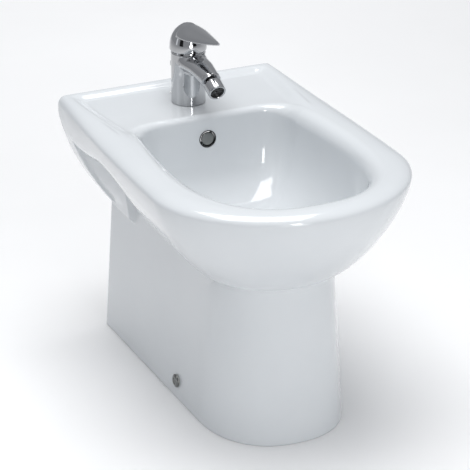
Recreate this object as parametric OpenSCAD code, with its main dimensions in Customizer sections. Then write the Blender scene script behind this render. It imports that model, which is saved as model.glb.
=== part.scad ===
// Floor standing bidet, back to wall, with single lever tap, pop-up waste and bottle trap.
// Origin: centre of the footprint at floor level. +X right, -Y towards the user, +Z up.
// The wall is the plane Y = +depth/2. "F" in the comments is the distance from the wall.

/* [China body] */
// Depth from the wall to the front of the rim
depth = 550; // [549:1:551]
// Height of the rim above the floor
rim_h = 385; // [384:1:386]
// Half of the greatest width of the rim
half_w = 187.5; // [187:0.5:188]
// Half of the width at the wall
half_w_wall = 173; // [172:0.5:174]
// Half of the pedestal's width at the floor
foot_w = 105; // [104:0.5:106]
// Distance from the wall to the front of the pedestal at the floor
foot_f = 464; // [462:1:466]
// How far the tap deck lies below the rim
deck_drop = 7; // [6:0.5:8]
// Height of the basin floor at the waste
basin_z = 243; // [242:0.5:244]
// Distance from the wall to the waste centre
waste_f = 285; // [284:1:286]

/* [Tap] */
// Distance from the wall to the tap hole centre
tap_f = 82; // [81:0.5:83]
// Diameter of the tap hole in the deck
tap_hole_d = 35; // [34:0.5:36]
// Radius of the tap body
tap_r = 25; // [24.8:0.1:25.1]
// Height of the lever's pivot above the deck
pivot_z = 70; // [69.5:0.5:70.5]
// Downward slope of the nozzle axis in degrees
nozzle_tilt_a = 25; // [23:1:27]

/* [Pop-up rod] */
// Distance from the wall to the lift rod
lift_f = 42; // [41.5:0.5:42.5]
// Sideways place of the lift rod
lift_x = -6.2; // [-6.4:0.1:-6.1]
// Height of the ball of the ball rod
ball_z = 178; // [177.5:0.5:178.5]

/* [Waste and trap] */
// Outside radius of the outlet pipe
pipe_r = 16; // [16:0.1:16.2]
// Height of the outlet pipe's axis above the floor
outlet_z = 100; // [99:1:101]

/* [Fixing] */
// Distance from the wall to the side fixing screws
fix_f = 269; // [266:1:272]
// Height of the side fixing screws
fix_z = 29; // [28:0.5:30]

/* [Hidden] */

yw = depth/2;
deck_z = rim_h - deck_drop;
wide_z = rim_h - 13;
under_z = rim_h - 149;
function Y(f) = yw - f;
function clamp01(t) = max(0, min(1, t));
function ease(a, b, t) = let (u = clamp01((t-a)/(b-a))) u*u*(3-2*u);
function mix(a, b, t) = a + (b-a)*t;
function smax(a, b, k) = (a+b+sqrt((a-b)*(a-b)+k*k))/2;

// ---------------------------------------------------------------- china body
// Half outlines run from the middle of the wall side to the middle of the front.
n_rear = 8;
side_f = [7, 18, 29, 33.5, 37, 46, 57, 70, 84, 90, 97, 110, 130, 155, 185, 225, 275, 330];
n_side = len(side_f);
n_front = 9;
last = n_rear + n_side + n_front + 1;
fc = 386;
function is_rear(i) = i <= n_rear;
function is_side(i) = i > n_rear && i <= n_rear + n_side;
function sf(i) = side_f[i - n_rear - 1];
function arc_a(i) = 90*(i - n_rear - n_side - 1)/n_front;
function pw(v, e) = v <= 0.000001 ? 0 : pow(v, e);
// rim outline
function w_at(f) = half_w_wall + (half_w - half_w_wall)*sin(90*clamp01(f/fc));
function rim_p(i) = is_rear(i) ? [half_w_wall*i/n_rear, 0]
  : is_side(i) ? [w_at(sf(i)), sf(i)]
  : let (a = arc_a(i), n = 1.95) [half_w*pw(cos(a), 2/n), fc + (depth-fc)*pw(sin(a), 2/n)];
function rim_n(i) = is_rear(i) ? [0, -1] : is_side(i) ? [1, 0]
  : let (a = arc_a(i), n = 1.95, x = pw(cos(a), 2-2/n)/half_w, y = pw(sin(a), 2-2/n)/(depth-fc), l = norm([x, y])) [x/l, y/l];
// pedestal outline at the floor
foot_fc = 343;
function foot_map(f) = f < 200 ? f : 200 + (f-200)*(foot_fc-200)/(fc-200);
function foot_p(i) = is_rear(i) ? [foot_w*i/n_rear, 0]
  : is_side(i) ? [foot_w, foot_map(sf(i))]
  : let (a = arc_a(i), n = 2.25) [foot_w*pw(cos(a), 2/n), foot_fc + (foot_f-foot_fc)*pw(sin(a), 2/n)];
function foot_n(i) = is_rear(i) ? [0, -1] : is_side(i) ? [1, 0]
  : let (a = arc_a(i), n = 2.25, x = pw(cos(a), 2-2/n)/foot_w, y = pw(sin(a), 2-2/n)/(foot_f-foot_fc), l = norm([x, y])) [x/l, y/l];
function flare(z) = 0.0632*z + (z < 3 ? 0.7*(3-z) : 0);
// bowl: inward offset below the widest line
function bowl_o(z) = let (s = clamp01((wide_z-z)/(wide_z-under_z))) 96.5*(1 - pw(1 - pw(s, 1.38), 0.7246));
function waist(f) = 1.12 - 1.12*ease(105, 262, f);
function waist_w(z) = z > 297.5 ? ease(345, 297.5, z) : z > 245 ? sin(180*(350-z)/105) : 0;
function bowl_x(f, z) = w_at(f) - bowl_o(z) - waist(f)*18*waist_w(z);
// wall flange and the gusset ahead of it
function flange_x(z) = half_w_wall - 82*pw(clamp01((wide_z-z)/170), 1.7);
function foot_x(z) = foot_w - flare(z);
function web_step(z) = 8*ease(203, 210, z) + 0.17*max(0, z-210);
function gusset_x(f, z) = z < 203 ? 0
  : f <= 34 ? flange_x(z)
  : f < 88 ? let (e = foot_x(z) + web_step(z)) e + (max(e, flange_x(z)-6) - e)*pw(1 - (f-34)/56, 1.2)
  : f < 96.5 ? foot_x(z) + web_step(z)*(96.5-f)/8.5 : 0;
function side_x(f, z) = z >= under_z ? smax(max(gusset_x(f, z), foot_x(z)), bowl_x(f, z), 3)
  : max(gusset_x(f, z), foot_x(z));
skin_z = [0, 3, 25, 75, 130, 180, 200, 203, 206, 210, 218, 227, 235.9, 236, 243, 251, 260, 269, 278, 287, 296, 306, 316, 327, 338, 350, 362];
function skin_pt(i, z) = is_rear(i) ? [max(gusset_x(0, z), foot_x(z))*i/n_rear, 0, z]
  : is_side(i) ? (z < 200 ? let (p = foot_p(i)) [p[0]-flare(z), p[1], z]
      : [side_x(sf(i), z), mix(foot_map(sf(i)), sf(i), ease(200, under_z, z)), z])
  : z < under_z ? let (p = foot_p(i), n = foot_n(i), o = flare(z)) [p[0]-n[0]*o, p[1]-n[1]*o, z]
  : let (p = rim_p(i), n = rim_n(i), o = bowl_o(z)) [p[0]-n[0]*o, p[1]-n[1]*o, z];
function mid0(p, i) = i == 0 || i == last ? [0, p[1], p[2]] : p;

// rim roundover, tap deck and basin
function lip_w(f) = mix(12, 34, ease(0, 205, f));
function front_k(i) = is_rear(i) || is_side(i) ? 0 : arc_a(i)/90;
function over_pt(i, a) = let (p = rim_p(i), n = rim_n(i), w = mix(lip_w(p[1]), 25, front_k(i)), c = 1 - cos(a), z = wide_z + 13*sin(a))
  is_rear(i) ? let (k = i/n_rear) [p[0]*(half_w_wall - lip_w(0)*c)/half_w_wall, 3*c, mix(max(z, rim_h - 3*(1-sin(a))), z, k > 0.99 ? 1 : 0)]
  : is_side(i) ? [p[0] - w*c, max(p[1], 3*c), z]
  : [p[0] - n[0]*w*c, p[1] - n[1]*w*c, z];
// basin opening
in_f0 = 149;
// inside face of the pedestal at the floor
wall_x = 91;
in_fc = 332.6;
function in_p(i) = i <= 6 ? [68.8*i/6, in_f0]
  : i <= 17 ? let (a = 90*(i-6)/12, n = 2.6) [68.8 + 49*pw(sin(a), 2/n), in_f0 + 49 - 49*pw(cos(a), 2/n)]
  : is_side(i) ? let (k = (i-17)/(n_rear+n_side+1-17), f = in_f0+49 + (in_fc-in_f0-49)*k) [117.8 + 9.8*sin(90*k), f]
  : let (a = arc_a(i), n = 2.53) [127.6*pw(cos(a), 2/n), in_fc + 169.5*pw(sin(a), 2/n)];
function in_n(i) = i <= 6 ? [0, -1]
  : i <= 17 ? let (a = 90*(i-6)/12, n = 2.6, x = pw(sin(a), 2-2/n), y = pw(cos(a), 2-2/n), l = norm([x, y])) [x/l, -y/l]
  : is_side(i) ? [1, 0]
  : let (a = arc_a(i), n = 2.53, x = pw(cos(a), 2-2/n)/127.6, y = pw(sin(a), 2-2/n)/169.5, l = norm([x, y])) [x/l, y/l];
function in_r(i) = i <= 6 ? 9 : i <= 20 ? mix(9, 22, ease(6, 20, i)) : mix(22, 20, front_k(i));
function dip(x, f) = deck_drop*ease(8, 22, f)*(1 - ease(110, 250, f))*(1 - ease(-24, -2, abs(x) - (w_at(f) - lip_w(f))));
function top_z(x, f) = rim_h - dip(x, f);
function lip_pt(i, a) = let (p = in_p(i), n = in_n(i), r = in_r(i), q = [p[0] + n[0]*r*(1-cos(a)), p[1] + n[1]*r*(1-cos(a))],
    zt = top_z(p[0] + n[0]*r, p[1] + n[1]*r)) [q[0], q[1], zt - r*(1-sin(a))];
function top_pt(i, t) = let (a = over_pt(i, 90), b = lip_pt(i, 90), x = mix(a[0], b[0], t), f = mix(a[1], b[1], t)) [x, f, top_z(x, f)];
function wall_z(i) = let (p = lip_pt(i, 0)) p[2];
function bowl_in(i, r) = let (p = in_p(i), d = [p[0], p[1]-waste_f], l = norm(d), c = [d[0]*34/l, waste_f + d[1]*34/l],
    m = 2.5) [mix(c[0], p[0], r), mix(c[1], p[1], r), basin_z + 5*r + (wall_z(i)-basin_z-5)*(1 - pw(1 - pw(r, m), 1/m))];

over_a = [0, 15, 32, 52, 72, 90];
top_t = [0.06, 0.12, 0.18, 0.45, 0.75];
lip_a = [90, 66, 42, 20, 0];
bowl_r = [0.985, 0.95, 0.89, 0.8, 0.69, 0.56, 0.42, 0.27, 0.13, 0];
half_rings = concat(
  [for (z = skin_z) [for (i = [0:last]) mid0(skin_pt(i, z), i)]],
  [for (a = over_a) [for (i = [0:last]) mid0(over_pt(i, a), i)]],
  [for (t = top_t) [for (i = [0:last]) mid0(top_pt(i, t), i)]],
  [for (a = lip_a) [for (i = [0:last]) mid0(lip_pt(i, a), i)]],
  [for (r = bowl_r) [for (i = [0:last]) mid0(bowl_in(i, r), i)]]);
n_ring = len(half_rings);
n_pt = 2*last;
function full(h) = concat([for (i = [0:last]) [h[i][0], Y(h[i][1]), h[i][2]]],
  [for (i = [last-1:-1:1]) [-h[i][0], Y(h[i][1]), h[i][2]]]);
function quad(j, k) = let (a = j*n_pt + k, b = j*n_pt + (k+1)%n_pt, c = a + n_pt, d = b + n_pt)
  k < last ? [[a, b, d], [a, d, c]] : [[a, b, c], [b, d, c]];

module china_solid() {
  polyhedron(
    points = [for (h = half_rings) each full(h)],
    faces = concat([[for (k = [n_pt-1:-1:0]) (k + last)%n_pt]],
      [for (j = [0:n_ring-2]) for (k = [0:n_pt-1]) each quad(j, k)],
      [[for (k = [0:n_pt-1]) (n_ring-1)*n_pt + k]]),
    convexity = 10);
}
// hollow of the pedestal, seen in plan: w is half its width, f its front
module pedestal_plan(w, f) {
  polygon(concat(
    [[-w, Y(12)], [-w, Y(330)]],
    [for (a = [10:10:170]) [-w*cos(a), Y(330 + (f-330)*sin(a))]],
    [[w, Y(330)], [w, Y(12)]]));
}
module bidet_body() color([0.93, 0.945, 0.955]) difference() {
  china_solid();
  // pedestal hollow, open at the floor
  translate([0, 0, -1]) linear_extrude(61) pedestal_plan(wall_x, 448);
  translate([0, 0, 59]) linear_extrude(82) pedestal_plan(85, 440);
  translate([0, 0, 140]) linear_extrude(86) pedestal_plan(79, 434);
  // hollow under the tap deck
  translate([0, Y(12), 0]) rotate([90, 0, 0]) linear_extrude(121)
    polygon([[-78.5, 225], [-90, 252], [-107, 290], [-136, 330], [-150, deck_z-14], [150, deck_z-14], [136, 330], [107, 290], [90, 252], [78.5, 225]]);
  // opening for the pipes in the back
  translate([-72, Y(20), -1]) cube([144, 30, 301]);
  // tap hole, lift rod hole, overflow and waste
  translate([0, Y(tap_f), deck_z-30]) cylinder(d = tap_hole_d, h = 60, $fn = 64);
  translate([lift_x, Y(lift_f), deck_z-30]) cylinder(r = 5, h = 60, $fn = 48);
  translate([0, Y(160), 343]) rotate([-90, 0, 0]) cylinder(r = 12.4, h = 40, $fn = 64);
  translate([0, Y(overflow_f), 343]) rotate([90, 0, 0]) cylinder(r = 13.4, h = 9, $fn = 64);
  translate([0, Y(waste_f), 200]) cylinder(r = 23, h = 60, $fn = 64);
  translate([0, Y(waste_f), 241]) cylinder(r = 33, h = 20, $fn = 64);
  // side fixing holes
  for (s = [-1, 1]) translate([s*96, Y(fix_f), fix_z]) rotate([0, 90, 0]) translate([0, 0, -30]) cylinder(r = 6, h = 60, $fn = 48);
}

// ---------------------------------------------------------------- overflow
overflow_f = in_f0 + 0.4;
module at_overflow() translate([0, Y(overflow_f), 343]) rotate([90, 0, 0]) children();
module overflow_ring() color([0.80, 0.81, 0.83]) at_overflow()
  rotate_extrude($fn = 64) polygon([[11.6, -12], [12.3, -12], [12.3, 0], [12.9, 0], [13.1, 0.7], [12.9, 1.4], [12.4, 1.7], [11.9, 1.5], [11.6, 1]]);
// plain cap held in the middle of the ring by four fins
module overflow_cap() color([0.45, 0.46, 0.48]) at_overflow() union() {
  rotate_extrude($fn = 64) polygon([[0, -1.6], [9.6, -1.6], [9.9, -1.2], [9.9, 0.2], [9.4, 0.8], [5, 1.3], [0, 1.5]]);
  for (a = [45:90:315]) rotate(a) translate([4, -0.5, -8]) cube([7.6, 1, 7]);
  translate([0, 0, -8]) cylinder(r = 4.5, h = 7, $fn = 48);
}

// ---------------------------------------------------------------- pop-up waste
module at_waste() translate([0, Y(waste_f), 0]) children();
module waste_flange() color([0.80, 0.81, 0.83]) at_waste()
  rotate_extrude($fn = 64) polygon([[16, 236], [19, 236], [19, 242.5], [31, 242.5], [31.5, 243.4], [31, 244.3], [20.6, 244.3], [18.8, 243.2], [17.4, 241], [16, 238]]);
module waste_gasket_top() color([0.15, 0.15, 0.16]) at_waste()
  rotate_extrude($fn = 64) polygon([[19.4, 241], [30, 241], [30, 242.5], [19.4, 242.5]]);
module waste_body() color([0.80, 0.81, 0.83]) at_waste() difference() {
  union() {
    rotate_extrude($fn = 64) polygon([[0, 120], [16, 120], [16, 156], [19, 160], [19, 236], [0, 236]]);
    translate([0, 0, ball_z]) rotate([-90, 0, 0]) cylinder(r = 9, h = 34, $fn = 48);
  }
  translate([0, 0, 119]) cylinder(r = 14.5, h = 118, $fn = 64);
  translate([0, 0, ball_z]) rotate([-90, 0, 0]) cylinder(r = 6, h = 40, $fn = 48);
  for (a = [0, 180]) rotate(a) translate([0, 14, 216]) cube([10, 14, 14], center = true);
}
module waste_gasket_bottom() color([0.15, 0.15, 0.16]) at_waste()
  rotate_extrude($fn = 64) polygon([[19.4, 223], [30, 223], [30, 226], [19.4, 226]]);
module waste_backnut() color([0.72, 0.66, 0.5]) at_waste() difference() {
  translate([0, 0, 213]) cylinder(r = 31, h = 10, $fn = 8);
  translate([0, 0, 212]) cylinder(r = 19.05, h = 12, $fn = 64);
}
plug_lift = 6.5;
module waste_plug() color([0.80, 0.81, 0.83]) at_waste() translate([0, 0, plug_lift]) union() {
  rotate_extrude($fn = 64) polygon([[0, 176.9], [2.4, 176.9], [3, 178], [3, 236], [8, 240], [15.2, 240], [16.6, 241.6], [17.6, 243.4], [19.4, 245.2], [19.4, 246.2], [18.6, 247.2], [14, 248.6], [7, 249.4], [0, 249.8]]);
  for (a = [0, 90]) rotate(a) translate([-13.6, -0.8, 200]) cube([27.2, 1.6, 34]);
}
module plug_seal() color([0.15, 0.15, 0.16]) at_waste() translate([0, 0, plug_lift])
  rotate_extrude($fn = 64) polygon([[8.2, 238.2], [14.9, 238.2], [15.8, 239.2], [15.8, 240], [8.2, 240]]);
// the ball rod leans down to the back in the open position
ball_f = waste_f - 34;
rod_a = 5.3;
module at_ball() translate([0, Y(ball_f), ball_z]) children();
module ball_rod() color([0.80, 0.81, 0.83]) at_ball() rotate([-rod_a, 0, 0]) union() {
  sphere(r = 5.92, $fn = 64);
  rotate([-90, 0, 0]) cylinder(r = 2.5, h = 216, $fn = 32);
  rotate([90, 0, 0]) cylinder(r = 2, h = 37, $fn = 32);
}
module ball_seal() color([0.93, 0.93, 0.9]) at_ball() rotate([90, 0, 0])
  rotate_extrude($fn = 48) polygon([[4.2, -6.6], [8.9, -6.6], [8.9, -3.5], [5.4, -3.5]]);
module ball_nut() color([0.80, 0.81, 0.83]) at_ball() rotate([-90, 0, 0]) difference() {
  translate([0, 0, -9]) cylinder(r = 13, h = 19, $fn = 8);
  translate([0, 0, -10]) cylinder(r = 9.05, h = 16.6, $fn = 48);
  translate([0, 0, 5]) cylinder(r = 5, h = 8, $fn = 48);
}
// lift rod
module at_lift() translate([lift_x, Y(lift_f), 0]) children();
module lift_rod() color([0.80, 0.81, 0.83]) at_lift() translate([0, 0, 138]) cylinder(r = 2.5, h = 283.4, $fn = 32);
module lift_knob() color([0.80, 0.81, 0.83]) at_lift()
  rotate_extrude($fn = 48) polygon([[0, 430], [2.4, 429.6], [4.2, 428.2], [4.8, 425.8], [4.8, 422], [3.9, 420.2], [3, 419.2], [2.5, 419.2], [2.5, 421.4], [0, 421.4]]);
module rod_guide() color([0.93, 0.93, 0.94]) at_lift()
  rotate_extrude($fn = 48) polygon([[2.55, 364], [4.9, 364], [4.9, 378], [6, 378], [6, 378.6], [5.4, 379.2], [2.55, 379.2]]);
clamp_z = ball_z - (ball_f - lift_f)*tan(rod_a);
module rod_clamp() color([0.80, 0.81, 0.83]) translate([0, Y(lift_f), clamp_z]) difference() {
  translate([lift_x - 5, -4.5, -9]) cube([11.5 - lift_x, 9, 18]);
  translate([lift_x, 0, -10]) cylinder(r = 2.5, h = 20, $fn = 32);
  rotate([90, 0, 0]) translate([0, 0, -6]) cylinder(r = 3.3, h = 12, $fn = 48);
  translate([lift_x, 0, 0]) rotate([0, -90, 0]) cylinder(r = 1.6, h = 10, $fn = 24);
}
module clamp_screws() color([0.80, 0.81, 0.83]) translate([lift_x - 2.5, Y(lift_f), clamp_z]) rotate([0, -90, 0]) union() {
  cylinder(r = 1.6, h = 4, $fn = 24);
  translate([0, 0, 2.5]) cylinder(r = 4, h = 4, $fn = 32);
}

// ---------------------------------------------------------------- bottle trap
module trap_inlet_seal() color([0.15, 0.15, 0.16]) at_waste()
  rotate_extrude($fn = 64) polygon([[16, 136], [20, 136], [20, 139], [17, 141], [16, 141]]);
module trap_inlet_nut() color([0.93, 0.93, 0.94]) at_waste() difference() {
  translate([0, 0, 124]) cylinder(r = 27, h = 20, $fn = 10);
  translate([0, 0, 123]) cylinder(r = 22.05, h = 18, $fn = 64);
  translate([0, 0, 122]) cylinder(r = 16.3, h = 24, $fn = 64);
}
module trap_body() color([0.93, 0.93, 0.94]) at_waste() difference() {
  union() {
    rotate_extrude($fn = 64) polygon([[0, 66], [31, 66], [31, 112], [26, 122], [22, 124], [22, 136], [0, 136]]);
    translate([0, 20, outlet_z]) rotate([-90, 0, 0]) cylinder(r = 20, h = 32, $fn = 64);
  }
  difference() {
    translate([0, 0, 65]) cylinder(r = 28, h = 46, $fn = 64);
    translate([0, 0, 60]) cylinder(r = 18.2, h = 60, $fn = 64);
  }
  translate([0, 0, 60]) cylinder(r = 16.2, h = 80, $fn = 64);
  translate([0, 24, outlet_z]) rotate([-90, 0, 0]) cylinder(r = 16.3, h = 40, $fn = 64);
  translate([0, 18.4, outlet_z]) rotate([-90, 0, 0]) cylinder(r = 9, h = 20, $fn = 64);
}
module trap_cup() color([0.93, 0.93, 0.94]) at_waste() difference() {
  union() {
    rotate_extrude($fn = 64) polygon([[0, 42], [24, 42], [30, 45], [34, 50], [35, 56], [35, 78], [0, 78]]);
    translate([0, 0, 58]) cylinder(r = 37.5, h = 18, $fn = 12);
  }
  rotate_extrude($fn = 64) polygon([[0, 46], [24, 46], [28, 52], [28, 62], [31.05, 62], [31.05, 79], [0, 79]]);
}
module trap_cup_seal() color([0.15, 0.15, 0.16]) at_waste()
  rotate_extrude($fn = 64) polygon([[28.2, 62], [30.8, 62], [30.8, 66], [28.2, 66]]);
module at_outlet() translate([0, Y(waste_f) + 20, outlet_z]) rotate([-90, 0, 0]) children();
module trap_outlet_seal() color([0.15, 0.15, 0.16]) at_outlet()
  rotate_extrude($fn = 64) polygon([[16.1, 32], [20, 32], [20, 34.5], [17, 36.5], [16.1, 36.5]]);
module trap_outlet_nut() color([0.93, 0.93, 0.94]) at_outlet() difference() {
  translate([0, 0, 20]) cylinder(r = 25.5, h = 19.5, $fn = 10);
  translate([0, 0, 19]) cylinder(r = 20.05, h = 17.6, $fn = 64);
  translate([0, 0, 18]) cylinder(r = 16.4, h = 24, $fn = 64);
}
module trap_outlet_pipe() color([0.93, 0.93, 0.94]) at_outlet() difference() {
  union() {
    translate([0, 0, 6]) cylinder(r = pipe_r - 0.2, h = 40, $fn = 64);
    translate([0, 0, 44]) cylinder(r = pipe_r, h = waste_f - 64, $fn = 64);
  }
  translate([0, 0, 5]) cylinder(r = 14.4, h = waste_f, $fn = 64);
}

// ---------------------------------------------------------------- tap
module at_tap() translate([0, Y(tap_f), deck_z]) children();
ax_f = 79;
ax_z = 58.6;
// along the nozzle: local +Z points out of the spout
module at_nozzle() at_tap() translate([0, -ax_f, ax_z]) rotate([90 + nozzle_tilt_a, 0, 0]) children();
module base_gasket() color([0.15, 0.15, 0.16]) at_tap()
  rotate_extrude($fn = 64) polygon([[17.8, 0], [22.5, 0], [22.5, 1.5], [17.8, 1.5]]);
module tap_body() color([0.80, 0.81, 0.83]) difference() {
  union() {
    at_tap() rotate_extrude($fn = 96) polygon([[0, 1.5], [22.7, 1.5], [22.7, 0.4], [24.2, 0.4], [25, 1.2], [tap_r, pivot_z+7.5], [0, pivot_z+7.5]]);
    hull() {
      at_tap() translate([0, 0, 53]) cylinder(r = 20.5, h = 23, $fn = 32);
      at_nozzle() translate([0, 0, -9]) cylinder(r = 13.9, h = 6, $fn = 32);
    }
    at_nozzle() translate([0, 0, -4]) cylinder(r = 11, h = 4, $fn = 48);
  }
  // cartridge bore, opened at the top
  at_tap() translate([0, 0, 34]) cylinder(r = 17.5, h = 60, $fn = 64);
  // water way to the nozzle and the ball's seat
  at_tap() translate([0, -14, 56]) rotate([82.8, 0, 0]) cylinder(r = 3, h = 57, $fn = 48);
  at_nozzle() translate([0, 0, -10.4]) cylinder(r = 9.6, h = 15, $fn = 48);
  // two inlets and the stud hole, from below
  for (s = [-1, 1]) at_tap() translate([s*8, -3, 0]) cylinder(r = 4.5, h = 16, $fn = 48);
  for (s = [-1, 1]) at_tap() translate([s*8, -3, 10]) cylinder(r = 2.5, h = 30, $fn = 32);
  at_tap() translate([0, 10.5, 0]) cylinder(r = 4, h = 14, $fn = 48);
}
module mounting_stud() color([0.72, 0.66, 0.5]) at_tap() translate([0, 10.5, -62]) cylinder(r = 4, h = 74, $fn = 32);
module horseshoe_shape(h) difference() {
  cylinder(r = 23, h = h, $fn = 64);
  translate([0, -4, -1]) cylinder(r = 12.5, h = h + 2, $fn = 64);
  translate([-12.5, -30, -1]) cube([25, 26, h + 2]);
  translate([0, 10.5, -1]) cylinder(r = 4.2, h = h + 2, $fn = 48);
}
module horseshoe_gasket() color([0.15, 0.15, 0.16]) at_tap() translate([0, 0, -17]) horseshoe_shape(3);
module horseshoe_plate() color([0.72, 0.66, 0.5]) at_tap() translate([0, 0, -19.5]) horseshoe_shape(2.5);
module stud_nut() color([0.72, 0.66, 0.5]) at_tap() translate([0, 10.5, -28.5]) difference() {
  cylinder(r = 7, h = 9, $fn = 6);
  translate([0, 0, -1]) cylinder(r = 4.0, h = 11, $fn = 32);
}
module cartridge() color([0.93, 0.93, 0.9]) at_tap() difference() {
  translate([0, 0, 34]) cylinder(r = 17.4, h = 22, $fn = 64);
  translate([0, 0, 48]) cylinder(r = 12.4, h = 10, $fn = 64);
  for (s = [-1, 1]) translate([s*8, -3, 33]) cylinder(r = 2.4, h = 8, $fn = 32);
}
module cartridge_nut() color([0.72, 0.66, 0.5]) at_tap() difference() {
  translate([0, 0, 56]) cylinder(r = 17.4, h = 6, $fn = 64);
  translate([0, 0, 55]) cylinder(r = 12.4, h = 8, $fn = 64);
}
// dome over the cartridge, a ball surface round the lever's pivot
dome_r = 26.2;
module cartridge_cover() color([0.80, 0.81, 0.83]) at_tap() translate([0, 0, pivot_z]) rotate_extrude($fn = 96)
  polygon(concat([[17.4, 7.5], [tap_r, 7.5]],
    [for (a = [18:8:58]) [dome_r*cos(a), dome_r*sin(a)]],
    [for (a = [58:-8:26]) [23.6*cos(a), 23.6*sin(a)]], [[21.2, 9.6], [15.8, 9.6], [15.8, -4], [17.4, -4]]));
module stem_carrier() color([0.93, 0.93, 0.9]) at_tap() difference() {
  union() {
    translate([0, 0, 49]) cylinder(r = 12, h = 12, $fn = 48);
    for (s = [-1, 1]) translate([s*8 - 2, -5, 60]) cube([4, 10, 15]);
  }
  translate([-12, 0, pivot_z]) rotate([0, 90, 0]) cylinder(r = 1.55, h = 24, $fn = 32);
}
module stem_pin() color([0.80, 0.81, 0.83]) at_tap() translate([-9.6, 0, pivot_z]) rotate([0, 90, 0]) cylinder(r = 1.5, h = 19.2, $fn = 32);
module lever_stem() color([0.72, 0.66, 0.5]) at_tap() difference() {
  union() {
    translate([0, 0, pivot_z]) rotate([0, 90, 0]) translate([0, 0, -5.5]) cylinder(r = 5, h = 11, $fn = 48);
    translate([0, 0, pivot_z]) cylinder(r = 4, h = 36, $fn = 48);
  }
  translate([-8, 0, pivot_z]) rotate([0, 90, 0]) cylinder(r = 1.55, h = 16, $fn = 32);
}
module lever_handle() color([0.80, 0.81, 0.83]) at_tap() difference() {
  union() {
    rotate_extrude($fn = 96) polygon([[0, 81.4], [26.6, 81.4], [27, 82], [27.1, 85], [26.8, 90], [26, 95], [24.6, 100.5], [22.2, 106], [18.6, 111], [13.8, 115.4], [8, 118.4], [0, 119.8]]);
    hull() {
      translate([0, -6, 105]) cylinder(r = 19.5, h = 5.5, $fn = 32);
      translate([0, -2, 114]) cylinder(r = 11, h = 4.6, $fn = 32);
      translate([0, -62, 113.6]) cylinder(r = 13.4, h = 4, $fn = 32);
      translate([0, -106.6, 121]) cylinder(r = 1.8, h = 3.5, $fn = 24);
    }
  }
  translate([0, 0, pivot_z]) sphere(r = dome_r + 0.5, $fn = 96);
  translate([0, 0, 90]) cylinder(r = 8, h = 7.6, $fn = 48);
  translate([0, 0, 90]) cylinder(r = 4, h = 16, $fn = 48);
  translate([0, 0, 101.5]) rotate([-90, 0, 0]) cylinder(r = 2.5, h = 30, $fn = 32);
}
module lever_grub_screw() color([0.3, 0.3, 0.32]) at_tap() translate([0, 4, 101.5]) rotate([-90, 0, 0]) difference() {
  cylinder(r = 2.5, h = 8, $fn = 32);
  translate([0, 0, 4]) cylinder(r = 1.3, h = 5, $fn = 6);
}
module indicator_plug() color([0.25, 0.26, 0.28]) at_tap() translate([0, 0, 101.5]) rotate([-90, 0, 0]) translate([0, 0, 22]) cylinder(r = 2.5, h = 3.8, $fn = 32);
// ball joint and nozzle
module collar_nut() color([0.80, 0.81, 0.83]) at_nozzle() difference() {
  rotate_extrude($fn = 64) polygon([[0, -2.8], [14, -2.8], [14.7, -2.1], [14.7, 1.9], [13, 3.2], [12.6, 3.4], [0, 3.4]]);
  translate([0, 0, -3.5]) cylinder(r = 11.05, h = 3.6, $fn = 64);
  translate([0, 0, -1]) sphere(r = 9.65, $fn = 64);
}
module ball_washer() color([0.93, 0.93, 0.9]) at_nozzle()
  rotate_extrude($fn = 48) polygon([[5.6, -8.95], [9.5, -8.95], [9.5, -7.6], [7.9, -7.4], [5.6, -8.4]]);
module nozzle_ball() color([0.80, 0.81, 0.83]) at_nozzle() difference() {
  union() {
    translate([0, 0, -1]) sphere(r = 9, $fn = 64);
    translate([0, 0, 4]) cylinder(r = 6.2, h = 15, $fn = 48);
  }
  translate([0, 0, -13]) cylinder(r = 4, h = 35, $fn = 48);
}
module nozzle_sleeve() color([0.80, 0.81, 0.83]) at_nozzle() difference() {
  rotate_extrude($fn = 64) polygon([[6.2, 9], [8.8, 6.7], [11.2, 7.1], [13.2, 9], [13, 24.5], [6.2, 24.5]]);
  translate([0, 0, 17]) cylinder(r = 10, h = 10, $fn = 64);
}
module aerator_insert() color([0.1, 0.1, 0.11]) at_nozzle() difference() {
  translate([0, 0, 19.2]) cylinder(r = 9.8, h = 3.6, $fn = 64);
  for (a = [0:60:359]) rotate(a) translate([6, 0, 18]) cylinder(r = 1.2, h = 9, $fn = 24);
  translate([0, 0, 18]) cylinder(r = 1.2, h = 9, $fn = 24);
}
module aerator_ring() color([0.80, 0.81, 0.83]) at_nozzle()
  rotate_extrude($fn = 64) polygon([[9.8, 24.5], [12.7, 24.5], [13, 25.4], [12.4, 26.4], [10.5, 26.4], [9.8, 25.6]]);

// ---------------------------------------------------------------- fixing
module each_side() for (s = [0, 1]) mirror([s, 0, 0]) children();
module fixing_brackets() color([0.93, 0.93, 0.94]) each_side() translate([0, Y(fix_f), 0]) difference() {
  union() {
    translate([wall_x - 6, -18, 0]) cube([6, 36, 46]);
    translate([wall_x - 46, -18, 0]) cube([44, 36, 6]);
    for (y = [-18, 14]) translate([0, y, 0]) rotate([-90, 0, 0]) linear_extrude(4) polygon([[wall_x-6, 0], [wall_x-6, -40], [wall_x-40, -6], [wall_x-40, 0]]);
  }
  translate([wall_x - 10, 0, fix_z]) rotate([0, 90, 0]) cylinder(r = 3, h = 20, $fn = 32);
  for (x = [-4, 4]) translate([wall_x - 30 + x, 0, -1]) cylinder(r = 4.25, h = 10, $fn = 32);
  translate([wall_x - 34, -4.25, -1]) cube([8, 8.5, 10]);
}
face_x = foot_w - 0.0632*fix_z;
module fixing_sleeves() color([0.93, 0.93, 0.9]) each_side() translate([0, Y(fix_f), fix_z]) rotate([0, 90, 0]) difference() {
  union() {
    translate([0, 0, wall_x]) cylinder(r = 5.95, h = face_x - wall_x + 1, $fn = 48);
    translate([0, 0, face_x + 0.7]) cylinder(r = 9, h = 0.7, $fn = 48);
  }
  cylinder(r = 3.1, h = 150, $fn = 32);
}
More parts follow.
